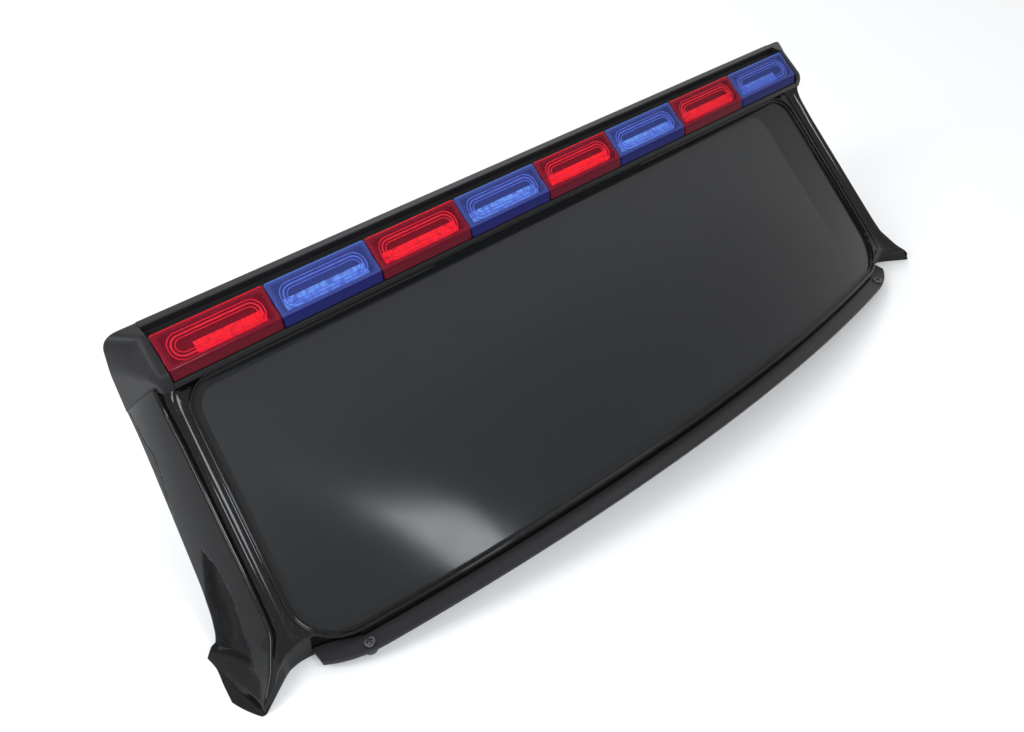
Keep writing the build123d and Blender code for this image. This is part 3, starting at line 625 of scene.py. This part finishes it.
# Pillar covers. Satin plastic shells close the back of each pillar and wrap round its rear corner as
# far as a parting line on the side, where they lie flush in the seat moulded for them.
COVER_T, COVER_POINTS, COVER_LAP, COVER_INNER_LAP = 1.2, 56, 0.3, 1.0
covered = pillar_v > COVER_LOW_V
cover_path = []
for places, way, limit in zip(pillar_section[covered], pillar_way[covered], cover_reach[covered, 0]):
    wanted = np.linspace(limit - COVER_LAP, way[-1] + COVER_INNER_LAP, COVER_POINTS)
    cover_path.append(np.stack([np.interp(-wanted, -way, places[:, axis]) for axis in (0, 1)], axis=-1))
cover_path = np.array(cover_path)
cover_along = unit(np.gradient(cover_path, axis=1))
cover_inside = cover_path + COVER_T * np.stack([cover_along[..., 1], -cover_along[..., 0]], axis=-1)
cover_section = np.concatenate([cover_path, cover_inside[:, ::-1]], axis=1)
cover_grid = on_slope(cover_section[..., 0], pillar_v[covered][:, None], cover_section[..., 1])
skin("cover_shell_right", [cover_grid], SATIN, "pillar_cover_right", crease=50)
skin("cover_shell_left", [cover_grid * OTHER_SIDE], SATIN, "pillar_cover_left", crease=50)

# Bar housing. A satin plastic tray carries the lenses, with a dark recess and a raised rim behind
# them. It sits on the header along a slanted seam. Sections are measured from the lenses' rear edge.
BAR_Y, BAR_Z, BAR_HALF, RIM_Y = 151.766, 143.072, 280.0, 15.5
BAR_UP_SLOPE, SEAM_GAP = 33.0, 0.3


def seam_height(y):
    """Height z at which the slanted seam, square to the slope, lies at y."""
    return (SEAM_V + SEAM_GAP - OPEN_TOP - BAR_UP_SLOPE - y * np.cos(RAKE)) / np.sin(RAKE)


def along_bar(x, section):
    """Sections in (y, z) from the lenses' rear edge, at each x."""
    return points(x[:, None], section[..., 0] + BAR_Y, section[..., 1] + BAR_Z)


TRAY_FRONT_Y = -15.3
TRAY = ((0.4, -4.2), (8.7, -4.2), (8.7, 0.9), (RIM_Y, 0.5), (RIM_Y, seam_height(RIM_Y)),
        (TRAY_FRONT_Y, seam_height(TRAY_FRONT_Y)), (TRAY_FRONT_Y, -25.0), (-21.1, -25.0), (-21.1, -20.7),
        (-15.5, -20.7), (-10.0, -16.9), (0.4, -9.8))
tray_x = np.linspace(-BAR_HALF, BAR_HALF, 60)
tray_section = rounded(sections(tray_x, TRAY), fills=[3] * len(TRAY),
                       reaches=(0.3, 0.5, 0.9, 1.6, 0.6, 0.3, 0.6, 1.1, 0.5, 0.3, 0.3, 0.3))
skin("bar_tray", [along_bar(tray_x, tray_section)], SATIN, "bar_housing")

# End caps. Rounded satin caps close the bar's ends and spread outwards to meet the pillars at the
# seam. Each row gives y, how far out the cap's foot and its upper edge lie, and that edge's height.
CAP = ((-22.0, 6.2, 4.9, -18.5), (-21.0, 6.6, 5.2, -16.2), (-19.0, 7.6, 5.3, -13.5), (-10, 11.5, 4.9, -7.1),
       (0, 15.8, 4.4, 0.0), (1.0, 16.2, 4.9, 0.5), (15.5, 22.4, 21.5, 0.5), (20.0, 23.0, 22.0, 0.5))
CAP_FORE_Y, CAP_FORE_R, CAP_AFT_R, CAP_LOW_Z, CAP_INNER = -19.5, 1.6, 2.2, -24.8, 0.3


def drawn_back(past, radius):
    """How far an edge rounded to a radius falls back, at a distance past where the rounding starts:
    radius - root(radius^2 - past^2)."""
    return radius * (1 - np.sqrt(1 - np.clip(past / radius, 0, 1) ** 2))


cap_y = np.concatenate([np.linspace(-21.1, -18, 14), np.linspace(-17.5, 13, 50),
                        np.linspace(13.2, RIM_Y, 12)])
low_out, top_out, top_z = (eased(cap_y, CAP, column, 0.8) for column in (1, 2, 3))
low_z = np.minimum(seam_height(cap_y), CAP_LOW_Z)
draw = drawn_back(CAP_FORE_Y - cap_y, CAP_FORE_R) + drawn_back(cap_y - RIM_Y + CAP_AFT_R, CAP_AFT_R)
cap_corners = ((BAR_HALF + CAP_INNER, low_z),
               (BAR_HALF + low_out - draw, low_z),
               (BAR_HALF + low_out - draw * 0.9 + 0.3, low_z * 0.45 + top_z * 0.55),
               (BAR_HALF + top_out - draw, top_z - draw),
               (BAR_HALF + CAP_INNER, top_z - draw))
low_bend = np.interp(cap_y, (-20, -8), (0.5, 4.0))
top_bend = np.interp(cap_y, (-21, -12, 2, 15), (1.7, 3.0, 3.4, 10.0))
level_bend = np.ones_like(cap_y)
cap_bends = np.stack([0.3 * level_bend, 0.6 * level_bend, low_bend, top_bend, 0.3 * level_bend], axis=-1)
cap_section = rounded(sections(cap_y, cap_corners), reaches=cap_bends, fills=(6, 8, 8, 6, 8), bend=12)
cap_grid = points(cap_section[..., 0], cap_y[:, None] + BAR_Y, cap_section[..., 1] + BAR_Z)
skin("cap_shell_right", [cap_grid], SATIN, "end_cap_right")
skin("cap_shell_left", [cap_grid * OTHER_SIDE], SATIN, "end_cap_left")

# Lenses. Eight covers of tinted clear plastic, red and blue in turn, clip into the tray. Each has
# three racetrack ribs moulded under its sloping face, over a board with two rows of small lamps.
LENS_PITCH, LENS_HALF, LENS_COUNT = 70.0, 34.7, 8
# One millimetre down the sloping face is FACE_Y forwards and FACE_Z down. The front strip starts
# FACE_LOW down it.
FACE_Y, FACE_Z, FACE_LOW = 0.8152, 0.5792, 22.6
LENS = ((0, -4.0), (0, 0), (-19.0, -13.5), (-20.1, -20.4), (-18.0, -20.4), (-2.0, -8.2))
LENS_MIDDLE = np.array([-9.0, -9.5])
END_STEPS = np.array([0, 0.05, 0.2, 0.4, 0.7, 1.1, 1.6])


def under_face(x, down, deep):
    """Points at a distance down the lenses' sloping face and deep below it."""
    y = BAR_Y - FACE_Y * down + FACE_Z * deep
    z = BAR_Z - FACE_Z * down - FACE_Y * deep
    return points(x, y, z)


def tinted(name, window, edge, front_painted_shade, alpha):
    """A lens's finish: clear in its window, with a painted highlight along its rear edge and painted shade
    on its darker front strip.
    """
    tint = Finish(name, Coat_Weight=0.05, Coat_Roughness=0.03, Specular_IOR_Level=0.08, Roughness=0.14)
    y, z = tint.along(1) - BAR_Y, tint.along(2) - BAR_Z
    down = -FACE_Y * y - FACE_Z * z
    deep = FACE_Z * y - FACE_Y * z
    from_end = tint.node("Math", {"operation": "PINGPONG"}, {0: tint.along(0) + BAR_HALF, 1: LENS_PITCH / 2})
    shown = (tint.rise(from_end, 1.0, 6.0) * tint.rise(down, 1.5, 4.5) * tint.rise(FACE_LOW - down, 0.0, 3.0)
             * tint.rise(1.0 - deep, 0.0, 0.3))
    # Painted highlight and shade: a brighter colour along the rear edge, and a darker one on the steep front
    # strip.
    colour = tint.mix(tint.rise(down + 0.25 * tint.noise(150.0, 1.0), 0.7, 1.6), (*edge, 1), (*window, 1))
    colour = tint.mix(tint.rise(down, FACE_LOW, FACE_LOW + 0.8), colour, (*front_painted_shade, 1))
    return tint.set(Base_Color=colour, Alpha=1.0 - (1.0 - alpha) * shown,
                    Normal=tint.bump(tint.noise(500.0, 2.0), 0.0001, 0.4))


def glowing(name, colour, light, dark, strength, cell):
    """A finish that glows in small cells, stronger at the near end of the bar. That fall along the bar is
    painted light, and on the ribs, which are no lamps, the whole glow is painted light.
    """
    glow = Finish(name, Roughness=0.35, Emission_Strength=strength)
    cells = glow.node("TexVoronoi", {"feature": "SMOOTH_F1"}, {"Vector": glow.place(), "Scale": cell})
    # Painted light: the glow falls by 0.8 towards the bar's far end.
    near = 1.0 - 0.8 * glow.rise(glow.along(0), 60.0, 260.0)
    shine = (1.0 - glow.rise(cells, 0.25, 0.75)) * near
    return glow.set(Base_Color=(*colour, 1), Emission_Color=glow.mix(shine, (*dark, 1), (*light, 1)))


WINDOW_ALPHA, RIB_CELL, LAMP_CELL = 0.45, 220.0, 420.0
# Each lens's colours: window, then the painted highlight of its rear edge, then the painted shade of its
# front strip.
RED = tinted("red_lens", (0.17, 0.006, 0.018), (0.66, 0.003, 0.012), (0.095, 0.001, 0.010), WINDOW_ALPHA)
BLUE = tinted("blue_lens", (0.040, 0.055, 0.22), (0.055, 0.14, 0.52), (0.007, 0.009, 0.095), WINDOW_ALPHA)
# The ribs are moulded plastic, so their glow is painted light.
RED_RIB = glowing("red_rib", (0.75, 0.01, 0.03), (0.9, 0.01, 0.035), (0.45, 0.004, 0.02), 0.7, RIB_CELL)
BLUE_RIB = glowing("blue_rib", (0.08, 0.14, 0.6), (0.12, 0.2, 0.75), (0.05, 0.09, 0.42), 0.6, RIB_CELL)
RED_ROW = glowing("red_row", (0.5, 0.005, 0.012), (1.0, 0.004, 0.01), (0.35, 0.001, 0.005), 1.5, LAMP_CELL)
BLUE_ROW = glowing("blue_row", (0.1, 0.22, 0.6), (0.18, 0.42, 1.0), (0.025, 0.05, 0.33), 0.85, LAMP_CELL)

# The ribs' outermost racetrack, then each rib's inset, width and depth under the face.
TRACK_HALF, TRACK_TOP, TRACK_LOW, TRACK_R, TRACK_R_LOSS = 29.1, 4.4, 20.8, 7.5, 0.7
RIBS = ((0.0, 0.8, 0.9), (2.0, 1.2, 1.0), (4.0, 0.7, 1.0))
RIB_HALF_T = 0.45


def racetrack(inset):
    """A closed rounded rectangle as places across the lens from its middle and down its face, drawn
    in by inset on all sides, with its corners' radius falling by a share of that."""
    half, top, low = TRACK_HALF - inset, TRACK_TOP + inset, TRACK_LOW - inset
    radius = TRACK_R - inset * TRACK_R_LOSS
    quarter = np.linspace(0, np.pi / 2, 12)
    parts = []
    for turns, (side, end) in enumerate(((1, 1), (-1, 1), (-1, -1), (1, -1))):
        centre = np.array([side * (half - radius), low - radius if end > 0 else top + radius])
        angle = quarter + turns * np.pi / 2
        parts.append(centre + radius * np.stack([np.cos(angle), np.sin(angle)], axis=-1))
    loop = np.concatenate(parts)
    return np.concatenate([loop, loop[:1]])


def rib(centre_x, inset, width, deep):
    """One rib: a flattened round section, swept along a racetrack under the lens's face."""
    loop = racetrack(inset)
    along = unit(np.roll(loop[:-1], -1, axis=0) - np.roll(loop[:-1], 1, axis=0))
    along = np.concatenate([along, along[:1]])
    outside = np.stack([along[:, 1], -along[:, 0]], axis=-1)
    angle = np.linspace(0, 2 * np.pi, 10, endpoint=False)
    places = loop[:, None] + outside[:, None] * (width / 2 * np.cos(angle))[:, None]
    return under_face(centre_x + places[..., 0], places[..., 1], deep + RIB_HALF_T * np.sin(angle))


# The lamp rows' reach down the face, their depths under it and their ends. In the first and last
# lens they stop short of the end cap.
LAMP_ROWS = ((12.7, 16.1), (16.6, 20.0))
ROW_BACK, ROW_FACE, ROW_LEFT, ROW_RIGHT, ROW_SHORT = 3.6, 2.4, -29.0, 28.0, 15.0


def lamp_row(centre_x, left, right, first, last, phase):
    """A row of lamps from left to right across the lens, between two places down its face. Its upper
    side waves by 0.175 sin(1.9 t + phase) + 0.125 sin(3.7 t + first)."""
    t = np.linspace(left, right, 90)
    face = ROW_FACE + 0.175 * np.sin(t * 1.9 + phase) + 0.125 * np.sin(t * 3.7 + first)
    corners = sections(t, ((first, ROW_BACK), (first, face), (last, face), (last, ROW_BACK)))
    strip = rounded(corners, reaches=(0.2, 0.5, 0.5, 0.2), fills=(1, 6, 1, 2))
    return under_face((centre_x + t)[:, None], strip[..., 0], strip[..., 1])


lens_x = np.concatenate([-LENS_HALF + END_STEPS, np.linspace(-32, 32, 40), LENS_HALF - END_STEPS[::-1]])
end_ease = drawn_back(np.abs(lens_x) - LENS_HALF + END_STEPS[-1], END_STEPS[-1])
lens_section = rounded(sections(lens_x, LENS), reaches=(0.3, 1.0, 1.6, 0.5, 0.3, 0.3),
                       fills=(2, 24, 5, 1, 10, 2))
lens_section = lens_section - unit(lens_section - LENS_MIDDLE) * end_ease[:, None, None]
for index in range(LENS_COUNT):
    number = index + 1
    centre_x = -BAR_HALF + LENS_PITCH * (index + 0.5)
    red = index % 2 == 0
    finish, rib_finish, row_finish = (RED, RED_RIB, RED_ROW) if red else (BLUE, BLUE_RIB, BLUE_ROW)
    cover = along_bar(centre_x + lens_x, lens_section)
    skin(f"lens_cover_{number}", [cover], finish, f"lens_{number}", crease=60)
    ribs = [rib(centre_x, inset, width, deep) for inset, width, deep in RIBS]
    skin(f"lens_ribs_{number}", ribs, rib_finish, f"lens_{number}", ends=False)
    left = -ROW_SHORT if number == 1 else ROW_LEFT
    right = ROW_SHORT if number == LENS_COUNT else ROW_RIGHT
    rows = [lamp_row(centre_x, left, right, first, last, index) for first, last in LAMP_ROWS]
    skin(f"lamp_rows_{number}", rows, row_finish, f"led_strip_{number}")

# Header cover. A plain strip of the same satin plastic closes the underside of the bar over the
# header. Its CAD shape stays and takes the bar's finish.
header_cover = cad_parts["header_cover"].data
header_cover.materials.clear()
header_cover.materials.append(SATIN)
